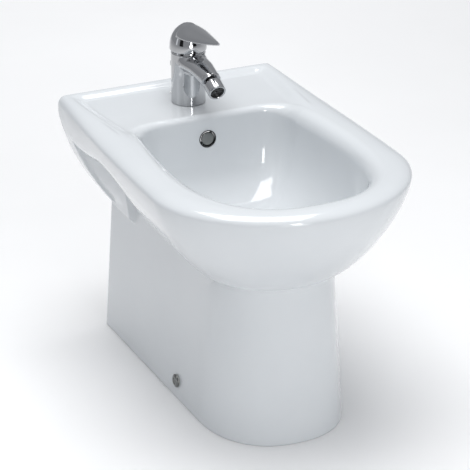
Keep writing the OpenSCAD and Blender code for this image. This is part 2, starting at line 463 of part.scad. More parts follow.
module fixing_screws() color([0.80, 0.81, 0.83]) each_side() translate([0, Y(fix_f), fix_z]) rotate([0, 90, 0]) union() {
  translate([0, 0, wall_x - 10]) cylinder(r = 3, h = face_x - wall_x + 12, $fn = 32);
  translate([0, 0, face_x + 1.4]) cylinder(r = 5.5, h = 1.6, $fn = 48);
}
module fixing_caps() color([0.80, 0.81, 0.83]) each_side() translate([0, Y(fix_f), fix_z]) rotate([0, 90, 0]) difference() {
  translate([0, 0, face_x + 1.4]) rotate_extrude($fn = 64) polygon([[0, 0], [9.6, 0], [10, 0.8], [9.4, 2.2], [7.5, 3.4], [5.5, 3.6], [4.8, 2.8], [3, 3.2], [0, 4.2]]);
  cylinder(r = 5.7, h = face_x + 3.05, $fn = 48);
}

bidet_body();
overflow_ring();
overflow_cap();
waste_flange();
waste_gasket_top();
waste_body();
waste_gasket_bottom();
waste_backnut();
waste_plug();
plug_seal();
ball_rod();
ball_seal();
ball_nut();
lift_rod();
lift_knob();
rod_guide();
rod_clamp();
clamp_screws();
trap_inlet_nut();
trap_inlet_seal();
trap_body();
trap_cup();
trap_cup_seal();
trap_outlet_nut();
trap_outlet_seal();
trap_outlet_pipe();
tap_body();
base_gasket();
mounting_stud();
horseshoe_gasket();
horseshoe_plate();
stud_nut();
cartridge();
cartridge_nut();
cartridge_cover();
stem_carrier();
stem_pin();
lever_stem();
lever_handle();
lever_grub_screw();
indicator_plug();
collar_nut();
ball_washer();
nozzle_ball();
nozzle_sleeve();
aerator_insert();
aerator_ring();
fixing_brackets();
fixing_sleeves();
fixing_screws();
fixing_caps();
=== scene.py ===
import math
import bpy
import numpy as np
from mathutils import Matrix, Vector


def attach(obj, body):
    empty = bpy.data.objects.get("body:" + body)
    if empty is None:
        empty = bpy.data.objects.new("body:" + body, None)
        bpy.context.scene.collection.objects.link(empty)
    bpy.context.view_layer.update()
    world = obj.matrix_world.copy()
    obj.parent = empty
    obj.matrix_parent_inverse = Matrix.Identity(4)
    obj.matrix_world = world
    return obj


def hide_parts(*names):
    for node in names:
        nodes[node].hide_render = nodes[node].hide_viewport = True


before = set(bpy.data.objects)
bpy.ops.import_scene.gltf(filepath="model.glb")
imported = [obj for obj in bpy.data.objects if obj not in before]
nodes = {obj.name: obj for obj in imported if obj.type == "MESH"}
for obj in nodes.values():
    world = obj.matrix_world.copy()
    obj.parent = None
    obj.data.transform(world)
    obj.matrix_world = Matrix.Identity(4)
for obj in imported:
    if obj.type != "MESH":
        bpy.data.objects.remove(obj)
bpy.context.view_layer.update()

scene = bpy.context.scene


# ------------------------------------------------------------------ materials
def node_tree(name):
    m = bpy.data.materials.new(name)
    m.use_nodes = True
    nt = m.node_tree
    for n in list(nt.nodes):
        nt.nodes.remove(n)
    out = nt.nodes.new("ShaderNodeOutputMaterial")
    b = nt.nodes.new("ShaderNodeBsdfPrincipled")
    nt.links.new(b.outputs["BSDF"], out.inputs["Surface"])
    tc = nt.nodes.new("ShaderNodeTexCoord")
    return m, nt, b, tc


def noise(nt, tc, scale, detail=2.0, rough=0.5, stretch=None):
    n = nt.nodes.new("ShaderNodeTexNoise")
    n.inputs["Scale"].default_value = scale
    n.inputs["Detail"].default_value = detail
    n.inputs["Roughness"].default_value = rough
    if stretch:
        mp = nt.nodes.new("ShaderNodeMapping")
        mp.inputs["Scale"].default_value = stretch
        nt.links.new(tc.outputs["Object"], mp.inputs["Vector"])
        nt.links.new(mp.outputs["Vector"], n.inputs["Vector"])
    else:
        nt.links.new(tc.outputs["Object"], n.inputs["Vector"])
    return n.outputs["Fac"]


def ramp(nt, fac, stops):
    r = nt.nodes.new("ShaderNodeValToRGB")
    els = r.color_ramp.elements
    els[0].position, els[0].color = stops[0][0], (*stops[0][1], 1)
    els[1].position, els[1].color = stops[-1][0], (*stops[-1][1], 1)
    for p, c in stops[1:-1]:
        e = els.new(p)
        e.color = (*c, 1)
    nt.links.new(fac, r.inputs["Fac"])
    return r.outputs["Color"]


def remap(nt, fac, lo, hi, a=0.3, b=0.7):
    r = nt.nodes.new("ShaderNodeMapRange")
    r.inputs["From Min"].default_value = a
    r.inputs["From Max"].default_value = b
    r.inputs["To Min"].default_value = lo
    r.inputs["To Max"].default_value = hi
    nt.links.new(fac, r.inputs["Value"])
    return r.outputs["Result"]


def bump(nt, b, height, strength, dist, before=None):
    n = nt.nodes.new("ShaderNodeBump")
    n.inputs["Strength"].default_value = strength
    n.inputs["Distance"].default_value = dist
    nt.links.new(height, n.inputs["Height"])
    if before is not None:
        nt.links.new(before, n.inputs["Normal"])
    nt.links.new(n.outputs["Normal"], b.inputs["Normal"])
    return n.outputs["Normal"]


def glaze():
    m, nt, b, tc = node_tree("glaze")
    cloud = noise(nt, tc, 9, 3, 0.55)
    col = ramp(nt, cloud, [(0.3, (0.655, 0.682, 0.704)), (0.7, (0.675, 0.70, 0.72))])
    speck = noise(nt, tc, 900, 1, 0.4)
    mix = nt.nodes.new("ShaderNodeMixRGB")
    mix.blend_type = "MULTIPLY"
    mix.inputs["Fac"].default_value = 0.35
    nt.links.new(col, mix.inputs["Color1"])
    nt.links.new(ramp(nt, speck, [(0.22, (0.93, 0.93, 0.93)), (0.3, (1, 1, 1))]), mix.inputs["Color2"])
    nt.links.new(mix.outputs["Color"], b.inputs["Base Color"])
    nt.links.new(remap(nt, noise(nt, tc, 45, 2), 0.07, 0.12), b.inputs["Roughness"])
    b.inputs["IOR"].default_value = 1.52
    b.inputs["Coat Weight"].default_value = 0.35
    b.inputs["Coat Roughness"].default_value = 0.03
    n1 = bump(nt, b, noise(nt, tc, 24, 2), 0.10, 0.0012)
    bump(nt, b, noise(nt, tc, 170, 2), 0.06, 0.0002, n1)
    return m


def bisque():
    m, nt, b, tc = node_tree("bisque")
    col = ramp(nt, noise(nt, tc, 30, 5, 0.6), [(0.25, (0.60, 0.59, 0.56)), (0.75, (0.72, 0.71, 0.68))])
    nt.links.new(col, b.inputs["Base Color"])
    nt.links.new(remap(nt, noise(nt, tc, 120, 3), 0.45, 0.7), b.inputs["Roughness"])
    bump(nt, b, noise(nt, tc, 260, 4, 0.6), 0.35, 0.0005)
    return m


def chrome(name="chrome", tint=(0.50, 0.505, 0.515), rough=(0.035, 0.075), scale=60, brush=None):
    m, nt, b, tc = node_tree(name)
    b.inputs["Metallic"].default_value = 1.0
    lo = tuple(c * 0.965 for c in tint)
    nt.links.new(ramp(nt, noise(nt, tc, scale * 0.4, 3), [(0.3, lo), (0.7, tint)]), b.inputs["Base Color"])
    nt.links.new(remap(nt, noise(nt, tc, scale, 4, 0.6), *rough), b.inputs["Roughness"])
    n1 = bump(nt, b, noise(nt, tc, 55, 1), 0.05, 0.0004)
    if brush:
        bump(nt, b, noise(nt, tc, 1, 3, 0.6, stretch=brush), 0.12, 0.0001, n1)
    return m


def metal(name, tint, rough, stretch, depth=0.0001, dark=0.8):
    m, nt, b, tc = node_tree(name)
    b.inputs["Metallic"].default_value = 1.0
    lo = tuple(c * dark for c in tint)
    nt.links.new(ramp(nt, noise(nt, tc, 70, 5, 0.65), [(0.3, lo), (0.7, tint)]), b.inputs["Base Color"])
    nt.links.new(remap(nt, noise(nt, tc, 140, 4, 0.6), *rough), b.inputs["Roughness"])
    bump(nt, b, noise(nt, tc, 1, 3, 0.6, stretch=stretch), 0.3, depth)
    return m


def plastic(name, tint, rough, grain=700, strength=0.12, shift=0.93):
    m, nt, b, tc = node_tree(name)
    lo = tuple(c * shift for c in tint)
    nt.links.new(ramp(nt, noise(nt, tc, 40, 4, 0.6), [(0.3, lo), (0.7, tint)]), b.inputs["Base Color"])
    nt.links.new(remap(nt, noise(nt, tc, 180, 3, 0.6), *rough), b.inputs["Roughness"])
    b.inputs["IOR"].default_value = 1.49
    bump(nt, b, noise(nt, tc, grain, 3, 0.6), strength, 0.0003)
    return m


GLAZE = glaze()
BISQUE = bisque()
CHROME = chrome()
STEEL = metal("steel", (0.56, 0.565, 0.575), (0.2, 0.34), (900, 900, 60))
BRASS = metal("brass", (0.78, 0.60, 0.30), (0.22, 0.4), (900, 900, 80), dark=0.7)
RUBBER = plastic("rubber", (0.022, 0.022, 0.024), (0.5, 0.68), 520, 0.3, 0.7)
WHITE = plastic("white_plastic", (0.80, 0.81, 0.81), (0.26, 0.38))
NYLON = plastic("nylon", (0.76, 0.75, 0.71), (0.34, 0.46), 420, 0.15)
# painted shade: a darkened copy of the chrome, used on the overflow disc and the side-screw caps to give their darker
# look
SHADED_CHROME = chrome("chrome_painted_shade", (0.20, 0.205, 0.20), (0.12, 0.2), 90)
# painted shadow: a near-black copy of the chrome on the overflow rim, standing in for the shadow in the gap round the
# overflow disc
GAP_SHADOW_CHROME = chrome("chrome_painted_gap_shadow", (0.085, 0.087, 0.088), (0.2, 0.3), 90)
DARK = plastic("dark_plastic", (0.012, 0.012, 0.013), (0.22, 0.36), 600, 0.15, 0.8)
INDICATOR = plastic("indicator", (0.06, 0.065, 0.075), (0.12, 0.2), 500, 0.05, 0.85)


# ------------------------------------------------------------------ mesh help
def new_object(name, verts_mm, faces, mat, sharp=35.0):
    """verts in millimetres (X, Y, Z); the object sits at the origin."""
    me = bpy.data.meshes.new(name)
    v = (np.asarray(verts_mm, float) / 1000.0).tolist()
    me.from_pydata(v, [], [list(f) for f in faces])
    me.validate()
    o = bpy.data.objects.new(name, me)
    scene.collection.objects.link(o)
    me.materials.append(mat)
    smooth(o, sharp)
    return o


def smooth(o, sharp=35.0):
    o.data.shade_smooth()
    o.data.set_sharp_from_angle(angle=math.radians(sharp))


def cut(o, tools, mat_mode="TRANSFER"):
    for t in tools:
        mod = o.modifiers.new("cut", "BOOLEAN")
        mod.operation = "DIFFERENCE"
        mod.solver = "MANIFOLD"
        mod.object = t
    dg = bpy.context.evaluated_depsgraph_get()
    me = bpy.data.meshes.new_from_object(o.evaluated_get(dg))
    o.modifiers.clear()
    o.data = me
    for t in tools:
        bpy.data.objects.remove(t)
    return o


def lathe(name, prof, mat, at=None, steps=96, sharp=35.0):
    """Closed ring or solid of revolution about local Z; prof is [(r, z)...] in mm, closed."""
    v, f = [], []
    n = len(prof)
    axis = [r <= 1e-6 for r, z in prof]
    idx = []
    for (r, z), ax in zip(prof, axis):
        if ax:
            idx.append([len(v)] * steps)
            v.append((0, 0, z))
        else:
            idx.append(list(range(len(v), len(v) + steps)))
            for k in range(steps):
                a = 2 * math.pi * k / steps
                v.append((r * math.cos(a), r * math.sin(a), z))
    for j in range(n):
        a, b = idx[j], idx[(j + 1) % n]
        if axis[j] and axis[(j + 1) % n]:
            continue
        for k in range(steps):
            q = [a[k], a[(k + 1) % steps], b[(k + 1) % steps], b[k]]
            g = []
            for x in q:
                if x not in g:
                    g.append(x)
            f.append(g)
    v = np.array(v, float)
    if at is not None:
        m = np.array(at)
        v = v @ m[:3, :3].T + m[:3, 3]
    o = new_object(name, v, f, mat, sharp)
    fix_normals(o)
    smooth(o, sharp)
    return o


def fix_normals(o):
    import bmesh
    bm = bmesh.new()
    bm.from_mesh(o.data)
    bmesh.ops.recalc_face_normals(bm, faces=bm.faces)
    bm.to_mesh(o.data)
    bm.free()


def rounded(prof, radii, steps=5):
    """Rounds the corners of a closed profile; radii gives one radius for each point."""
    out = []
    n = len(prof)
    for i, p in enumerate(prof):
        r = radii[i]
        a, b = prof[i - 1], prof[(i + 1) % n]
        if r <= 0:
            out.append(p)
            continue
        u = np.array(a, float) - p
        w = np.array(b, float) - p
        lu, lw = np.hypot(*u), np.hypot(*w)
        u, w = u / lu, w / lw
        half = math.acos(max(-1, min(1, float(u @ w)))) / 2
        d = min(r / math.tan(half), lu * 0.49, lw * 0.49)
        p0, p1 = np.array(p) + u * d, np.array(p) + w * d
        for k in range(steps + 1):
            t = k / steps
            q = (1 - t) ** 2 * p0 + 2 * t * (1 - t) * np.array(p, float) + t * t * p1
            out.append((float(q[0]), float(q[1])))
    return out


def tool_prism(name, pts, z0, z1, mat):
    """Closed prism from a plan outline in mm (X, Y)."""
    n = len(pts)
    v = [(x, y, z0) for x, y in pts] + [(x, y, z1) for x, y in pts]
    f = [list(range(n - 1, -1, -1)), list(range(n, 2 * n))]
    f += [[k, (k + 1) % n, n + (k + 1) % n, n + k] for k in range(n)]
    o = new_object(name, v, f, mat)
    fix_normals(o)
    return o


def tool_loft(name, rings, mat):
    n = len(rings[0])
    v = [p for r in rings for p in r]
    m = len(rings)
    f = [list(range(n)), list(range((m - 1) * n, m * n))]
    for j in range(m - 1):
        f += [[j * n + k, j * n + (k + 1) % n, (j + 1) * n + (k + 1) % n, (j + 1) * n + k] for k in range(n)]
    o = new_object(name, v, f, mat)
    fix_normals(o)
    return o


def tool_cyl(name, r, h, at, mat, steps=96):
    v = [(r * math.cos(2 * math.pi * k / steps), r * math.sin(2 * math.pi * k / steps), z) for z in (0, h) for k in range(steps)]
    m = np.array(at)
    v = np.array(v) @ m[:3, :3].T + m[:3, 3]
    f = [list(range(steps)), list(range(steps, 2 * steps))]
    f += [[k, (k + 1) % steps, steps + (k + 1) % steps, steps + k] for k in range(steps)]
    o = new_object(name, v, f, mat)
    fix_normals(o)
    return o


def place(x, y, z, rx=0.0, ry=0.0, rz=0.0):
    m = Matrix.Translation((x, y, z)) @ Matrix.Rotation(math.radians(rz), 4, "Z") @ Matrix.Rotation(math.radians(ry), 4, "Y") @ Matrix.Rotation(math.radians(rx), 4, "X")
    return np.array(m)


# ------------------------------------------------------------------ sizes, mm
DEPTH, RIM, HALF_W, HALF_WALL = 550.0, 385.0, 187.5, 173.0
FOOT_W, FOOT_F, DROP, BASIN_Z, WASTE_F = 105.0, 464.0, 7.0, 243.0, 285.0
TAP_F, PIVOT, TILT = 82.0, 70.0, 25.0
LIFT_X, LIFT_F = -6.2, 42.0
FIX_F, FIX_Z = 269.0, 29.0
YW = DEPTH / 2
DECK = RIM - DROP
WIDE = RIM - 13
UNDER = RIM - 149
FC, FOOT_FC, IN_F0, IN_FC = 386.0, 343.0, 149.0, 332.6


def ease(a, b, t):
    u = np.clip((t - a) / (b - a), 0, 1)
    return u * u * (3 - 2 * u)


def mix(a, b, t):
    return a + (b - a) * t


def smax(a, b, k):
    return (a + b + np.sqrt((a - b) ** 2 + k * k)) / 2


def pw(v, e):
    return np.power(np.maximum(v, 1e-12), e) * (v > 1e-7)


# ------------------------------------------------------------------ the china
def stations():
    """Parameter values 0..36 along half the outline, and the rear corner's arc."""
    u = list(np.linspace(0, 8, 34)[:-1])
    corner = 8
    rear = [("rear", t) for t in u]
    arc = [("arc", 90 * k / corner) for k in range(corner + 1)]
    side = []
    side_f = [0, 7, 18, 29, 33.5, 37, 46, 57, 70, 84, 90, 97, 110, 130, 155, 185, 225, 275, 330]
    steps = [2, 5, 5, 5, 5, 5, 5, 5, 6, 6, 6, 5, 6, 7, 7, 8, 9, 9]
    for j, n in enumerate(steps):
        for k in range(n):
            t = k / n
            f = mix(side_f[j], side_f[j + 1], t)
            if f > 3.2:
                side.append(("side", 8 + j + t))
    side.append(("side", 26.0))
    k = np.linspace(0, 1, 9)[1:-1]
    side += [("gap", 26 + float(t)) for t in k]
    front = [("front", 27 + 9 * t) for t in np.linspace(0, 1, 82)]
    return rear + arc + side + front


ST = stations()
KIND = np.array([s[0] for s in ST])
U = np.array([s[1] for s in ST])
SIDE_F = np.array([0, 7, 18, 29, 33.5, 37, 46, 57, 70, 84, 90, 97, 110, 130, 155, 185, 225, 275, 330, FC])
REAR = KIND == "rear"
ARC = KIND == "arc"
SIDE = (KIND == "side") | (KIND == "gap")
FRONT = KIND == "front"
SF = np.interp(U, np.arange(8, 28), SIDE_F)
SF[REAR | ARC] = 0
ANG = np.where(FRONT, np.radians((U - 27) * 10), 0.0)
ARC_A = np.where(ARC, np.radians(U), 0.0)
R_C = 2.6


def w_at(f):
    return HALF_WALL + (HALF_W - HALF_WALL) * np.sin(np.pi / 2 * np.clip(f / FC, 0, 1))


def foot_map(f):
    return np.where(f < 200, f, 200 + (f - 200) * (FOOT_FC - 200) / (FC - 200))


def super_pt(a, n, rx, ry, cx, cf):
    return cx + rx * pw(np.cos(a), 2 / n), cf + ry * pw(np.sin(a), 2 / n)


def super_n(a, n, rx, ry):
    x = pw(np.cos(a), 2 - 2 / n) / rx
    y = pw(np.sin(a), 2 - 2 / n) / ry
    l = np.hypot(x, y) + 1e-12
    return x / l, y / l


def bowl_o(z):
    s = np.clip((WIDE - z) / (WIDE - UNDER), 0, 1)
    return 96.5 * (1 - np.power(1 - np.power(s, 1.38), 0.7246))


def flare(z):
    return 0.0632 * z


def foot_round(z):
    """Inward step of the rounded bottom edge."""
    t = np.clip((2.6 - z) / 2.6, 0, 1)
    return 2.6 * (1 - np.sqrt(np.maximum(0, 1 - t * t)))


def flange_x(z):
    return HALF_WALL - 82 * np.power(np.clip((WIDE - z) / 170, 0, 1), 1.7)


def foot_x(z):
    return FOOT_W - flare(z) - foot_round(z)


def gusset_x(f, z):
    step = 8 * ease(202, 210, z) + 0.17 * np.maximum(0, z - 210)
    e = foot_x(z) + step
    fl = flange_x(z)
    top = smax(e, fl - 6, 2.5)
    shrink = np.power(np.clip(1 - (f - 34) / 56, 0, 1), 1.2)
    mid = e + (top - e) * shrink
    near = mix(fl, mid, ease(32, 37.5, f))
    front = foot_x(z) + step * np.clip((96.5 - f) / 8.5, 0, 1)
    g = np.where(f <= 32, fl, np.where(f < 88, near, np.minimum(near, front)))
    g = np.where(f >= 97, -1e3, g)
    return np.where(z < 201.5, -1e3, g)


def waist_w(z):
    return np.where(z > 297.5, ease(345, 297.5, z), np.sin(np.pi * (350 - np.maximum(z, 245)) / 105))


def waist(f):
    return 1.12 - 1.12 * ease(105, 262, f)


def bowl_x(f, z):
    zz = np.maximum(z, UNDER)
    w = waist_w(z)
    b = w_at(f) - bowl_o(zz) - waist(f) * 18 * w - 3.0 * (zz - z)
    # above the recess the flank runs flush into the wall flange
    flush = w_at(f) - (HALF_WALL - flange_x(z))
    return b + ease(296, 332, z) * (1 - ease(52, 175, f)) * np.maximum(flush - b, 0)


def side_x(f, z):
    a = np.maximum(gusset_x(f, z), foot_x(z))
    k = mix(3.0, 6.0, ease(90, 150, f)) * (1 - 0.99 * ease(318, 350, z))
    return smax(a, bowl_x(f, z), k)


def skin(z):
    z = float(z)
    x = np.zeros(len(ST))
    f = np.zeros(len(ST))
    zz = np.full(len(ST), z)
    # rear and its corner
    xr = max(float(gusset_x(np.array(0.0), np.array(z))), float(foot_x(np.array(z))))
    if z > 330:
        xr = float(smax(np.array(xr), w_at(0.0) - bowl_o(z) - 1.12 * 18 * float(waist_w(z)), 3.0))
        xr = min(xr, HALF_WALL)
    x[REAR] = (xr - R_C) * U[REAR] / 8
    x[ARC] = xr - R_C + R_C * np.sin(ARC_A[ARC])
    f[ARC] = R_C - R_C * np.cos(ARC_A[ARC])
    # side
    sx = side_x(SF, z)
    xs0 = side_x(np.array(0.0), z)
    keep = ease(0, 14, SF)
    x[SIDE] = (sx + (xr - xs0) * (1 - keep))[SIDE]
    fm = foot_map(SF)
    f[SIDE] = mix(fm, SF, ease(200, UNDER, z))[SIDE]
    # front
    a = ANG[FRONT]
    fx, ff = super_pt(a, 2.25, FOOT_W, FOOT_F - FOOT_FC, 0, FOOT_FC)
    nx, nf = super_n(a, 2.25, FOOT_W, FOOT_F - FOOT_FC)
    o = flare(z) + foot_round(z)
    px, pf = fx - nx * o, ff - nf * o
    zb = max(z, UNDER)
    bx, bf = super_pt(a, 1.95, HALF_W, DEPTH - FC, 0, FC)
    mx, mf = super_n(a, 1.95, HALF_W, DEPTH - FC)
    ob = bowl_o(zb)
    bx, bf = bx - mx * ob, bf - mf * ob
    if z >= UNDER - 12:
        dx, df = bx - px, bf - pf
        dn = dx * mx + df * mf - 3.0 * (zb - z)
        tx, tf = -mf, mx
        dt = dx * tx + df * tf
        t_w = float(ease(224, UNDER, z))
        s = smax(np.zeros_like(dn), dn, 6.0)
        s = s * ease(UNDER - 12, UNDER - 8, z)
        px = px + mx * s + tx * dt * t_w
        pf = pf + mf * s + tf * dt * t_w
    elif z >= 200:
        t_w = float(ease(224, UNDER, z))
        dx, df = bx - px, bf - pf
        tx, tf = -mf, mx
        dt = dx * tx + df * tf
        px, pf = px + tx * dt * t_w, pf + tf * dt * t_w
    x[FRONT], f[FRONT] = px, pf
    # the joint between side and front runs through smoothly
    return np.stack([x, f, zz], 1)


def rim_p():
    x = np.zeros(len(ST))
    f = np.zeros(len(ST))
    x[REAR] = (HALF_WALL - R_C) * U[REAR] / 8
    x[ARC] = HALF_WALL - R_C + R_C * np.sin(ARC_A[ARC])
    f[ARC] = R_C - R_C * np.cos(ARC_A[ARC])
    x[SIDE], f[SIDE] = w_at(SF)[SIDE], SF[SIDE]
    a = ANG[FRONT]
    x[FRONT], f[FRONT] = super_pt(a, 1.95, HALF_W, DEPTH - FC, 0, FC)
    nx = np.zeros(len(ST))
    nf = np.zeros(len(ST))
    nx[SIDE] = 1
    nx[FRONT], nf[FRONT] = super_n(a, 1.95, HALF_W, DEPTH - FC)
    return x, f, nx, nf


RX, RF, RNX, RNF = rim_p()


def lip_w(f):
    return mix(12, 34, ease(0, 205, f))


FRONT_K = np.where(FRONT, (U - 27) / 9, 0.0)


def over(a):
    c, s = 1 - math.cos(a), math.sin(a)
    z = WIDE + 13 * s
    w = mix(lip_w(RF), 25, FRONT_K)
    x = RX - np.where(REAR | ARC, 0, RNX * w * c)
    f = RF - np.where(REAR | ARC, 0, RNF * w * c)
    zz = np.full(len(ST), z)
    lw = float(lip_w(0.0))
    scale = (HALF_WALL - lw * c) / HALF_WALL
    x[REAR] = RX[REAR] * scale
    x[ARC] = RX[ARC] - lw * c
    k = np.where(REAR, U / 8, 1.0)
    blend_k = ease(0.90, 1.0, k)
    zr = mix(max(z, RIM - 3 * (1 - s)), z, blend_k)
    rear = REAR | ARC
    f[rear] = RF[rear] + 3 * c * (1 - RF[rear] / 3)
    zz[rear] = zr[rear]
    f[SIDE] = np.maximum(f[SIDE], 3 * c)
    return np.stack([x, f, zz], 1)


def inner():
    i = U.copy()
    i[ARC] = 8.0 + 0.999 * U[ARC] / 90.0 * 0.3
    i[SIDE] = np.where(U[SIDE] < 9, 8.3 + (U[SIDE] - 8) * 0.7, U[SIDE])
    i[REAR] = U[REAR]
    x = np.zeros(len(ST))
    f = np.zeros(len(ST))
    nx = np.zeros(len(ST))
    nf = np.zeros(len(ST))
    m0 = i <= 6
    x[m0], f[m0], nf[m0] = 68.8 * i[m0] / 6, IN_F0, -1
    m1 = (i > 6) & (i <= 17)
    a = np.radians(90 * (i[m1] - 6) / 12)
    x[m1], f[m1] = 68.8 + 49 * pw(np.sin(a), 2 / 2.6), IN_F0 + 49 - 49 * pw(np.cos(a), 2 / 2.6)
    qx, qy = pw(np.sin(a), 2 - 2 / 2.6), pw(np.cos(a), 2 - 2 / 2.6)
    l = np.hypot(qx, qy)
    nx[m1], nf[m1] = qx / l, -qy / l
    m2 = (i > 17) & ~FRONT
    # eases out of the corner arc into the side
    t = (i[m2] - 17) / 10
    ax = 68.8 + 49 * pw(np.array([math.sin(math.radians(82.5))]), 2 / 2.6)[0]
    af = IN_F0 + 49 - 49 * pw(np.array([math.cos(math.radians(82.5))]), 2 / 2.6)[0]
    f2 = af + (IN_FC - af) * t
    side = 117.8 + 9.8 * np.sin(np.pi / 2 * np.clip((f2 - IN_F0 - 49) / (IN_FC - IN_F0 - 49), 0, 1))
    cap = 68.8 + 49 * pw(1 - pw(np.clip((IN_F0 + 49 - f2) / 49, 0, 1), 2.6), 1 / 2.6)
    early = f2 < IN_F0 + 49
    x[m2] = np.where(early, cap, side)
    f[m2] = f2
    nx[m2] = 1
    d = 1e-3
    s2 = 117.8 + 9.8 * np.sin(np.pi / 2 * np.clip((f2 + d - IN_F0 - 49) / (IN_FC - IN_F0 - 49), 0, 1))
    c2 = 68.8 + 49 * pw(1 - pw(np.clip((IN_F0 + 49 - f2 - d) / 49, 0, 1), 2.6), 1 / 2.6)
    slope = (np.where(early, c2, s2) - x[m2]) / d
    l = np.hypot(1, slope)
    nx[m2], nf[m2] = 1 / l, -slope / l
    a = ANG[FRONT]
    x[FRONT], f[FRONT] = super_pt(a, 2.53, 127.6, 169.5, 0, IN_FC)
    nx[FRONT], nf[FRONT] = super_n(a, 2.53, 127.6, 169.5)
    r = np.where(i <= 6, 9, mix(9, 22, ease(6, 20, i)))
    r = np.where(FRONT, mix(22, 20, FRONT_K), r)
    return x, f, nx, nf, r


IX, IF, INX, INF, IR = inner()


def dip(x, f):
    return DROP * ease(8, 22, f) * (1 - ease(110, 250, f)) * (1 - ease(-24, -2, np.abs(x) - (w_at(f) - lip_w(f))))


def top_z(x, f):
    return RIM - dip(x, f)


def lip(a):
    c, s = 1 - math.cos(a), math.sin(a)
    zt = top_z(IX + INX * IR, IF + INF * IR)
    return np.stack([IX + INX * IR * c, IF + INF * IR * c, zt - IR * (1 - s)], 1)


def top(t):
    a, b = over(math.pi / 2), lip(math.pi / 2)
    x, f = mix(a[:, 0], b[:, 0], t), mix(a[:, 1], b[:, 1], t)
    return np.stack([x, f, top_z(x, f)], 1)


WALL_Z = lip(0.0)[:, 2]


def basin(phi):
    r = math.sin(phi) ** 0.8
    h = math.cos(phi) ** 0.8 if math.cos(phi) > 1e-9 else 0.0
    dx, df = IX, IF - WASTE_F
    l = np.hypot(dx, df)
    cx, cf = dx * 34 / l, WASTE_F + df * 34 / l
    return np.stack([mix(cx, IX, r), mix(cf, IF, r), BASIN_Z + 5 * r + (WALL_Z - BASIN_Z - 5) * (1 - h)], 1)


def build_china():
    zs = [0, 0.35, 1.0, 1.8, 2.6, 6, 12] + list(np.linspace(20, 190, 22)) + list(np.arange(195, 200, 2))
    zs += list(np.arange(200, 214, 0.9)) + list(np.arange(215, 224, 2.2)) + list(np.arange(225, 246, 1.0))
    zs += list(np.arange(247, 300, 3.0)) + list(np.arange(301, 360, 3.4)) + list(np.arange(360.5, 371.9, 1.9))
    rings = [skin(z) for z in zs]
    rings += [over(a) for a in np.linspace(0, math.pi / 2, 17)]
    ts = [0.015, 0.03, 0.05, 0.07, 0.09, 0.11, 0.13, 0.15, 0.17, 0.20, 0.24, 0.28, 0.33, 0.38, 0.44, 0.5, 0.56, 0.62, 0.68, 0.74, 0.80, 0.86, 0.91, 0.96]
    rings += [top(t) for t in ts]
    rings += [lip(a) for a in np.linspace(math.pi / 2, 0, 15)]
    phis = [math.radians(p) for p in (88.6, 86.5, 84, 81, 78, 75, 72, 69, 66, 63, 60, 57, 54, 51, 48, 45, 42, 39, 36, 33, 30, 27, 24, 21, 18, 15, 12, 9, 6, 4, 2.2, 1)]
    rings += [basin(p) for p in phis]
    rings += [basin(0.0)]
    n = len(ST)
    full = []
    for r in rings:
        r = r.copy()
        r[0, 0] = 0
        r[-1, 0] = 0
        right = np.stack([r[:, 0], YW - r[:, 1], r[:, 2]], 1)
        left = right[1:-1][::-1] * np.array([-1, 1, 1])
        full.append(np.concatenate([right, left]))
    m = len(full)
    k = 2 * n - 2
    v = np.concatenate(full)
    a = np.arange(k)
    b = (a + 1) % k
    faces = [list(range(k - 1, -1, -1))]
    for j in range(m - 1):
        faces += np.stack([j * k + a, j * k + b, (j + 1) * k + b, (j + 1) * k + a], 1).tolist()
    faces.append([(m - 1) * k + q for q in range(k)])
    return new_object("china_body", v, faces, GLAZE, 38)


def plan(w, f, n=36):
    pts = [(-w, YW - 12), (-w, YW - 330)]
    pts += [(-w * math.cos(math.pi * k / n), YW - (330 + (f - 330) * math.sin(math.pi * k / n))) for k in range(1, n)]
    pts += [(w, YW - 330), (w, YW - 12)]
    return pts


china = build_china()
tools = []
levels = [(-1, 91.3, 448.3), (60, 87.5, 444), (140, 82.2, 439), (200, 79.0, 434), (216, 76.5, 431), (224, 70, 424), (226, 60, 412)]
tools.append(tool_loft("t1", [[(x, y, z) for x, y in plan(w, f)] for z, w, f in levels], BISQUE))
sec = [(-78.5, 215), (-78.5, 225), (-90, 252), (-107, 290), (-136, 330), (-147, 356), (-141, 364), (141, 364), (147, 356), (136, 330), (107, 290), (90, 252), (78.5, 225), (78.5, 215)]
tools.append(tool_loft("t2", [[(x, y, z) for x, z in sec] for y in (YW - 12, YW - 133)], BISQUE))
tools.append(tool_prism("t3", rounded([(-72, YW - 20), (72, YW - 20), (72, YW + 10), (-72, YW + 10)], [0, 0, 0, 0]), -1, 300, BISQUE))
tools.append(tool_cyl("t4", 17.5, 60, place(0, YW - TAP_F, DECK - 30), GLAZE))
tools.append(tool_cyl("t5", 5, 60, place(LIFT_X, YW - LIFT_F, DECK - 30), GLAZE))
tools.append(tool_cyl("t6", 12.4, 40, place(0, YW - 160, 343, rx=-90), GLAZE))
tools.append(tool_cyl("t7", 13.4, 9, place(0, YW - IN_F0 - 0.4, 343, rx=90), GLAZE))
tools.append(tool_cyl("t8", 23, 60, place(0, YW - WASTE_F, 200), GLAZE))
tools.append(tool_cyl("t9", 33, 20, place(0, YW - WASTE_F, 241), GLAZE))
tools.append(tool_cyl("t10", 6, 60, place(66, YW - FIX_F, FIX_Z, ry=90), GLAZE))
tools.append(tool_cyl("t11", 6, 60, place(-126, YW - FIX_F, FIX_Z, ry=90), GLAZE))
cut(china, tools)
smooth(china, 38)
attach(china, "china")
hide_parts("bidet_body")


# ------------------------------------------------------------------ smooth pieces of the tap
def smin(a, b, k):
    h = np.clip(0.5 + 0.5 * (b - a) / k, 0, 1)
    return b * (1 - h) + a * h - k * h * (1 - h)


def cap_max(a, b, k):
    return -smin(-a, -b, k)


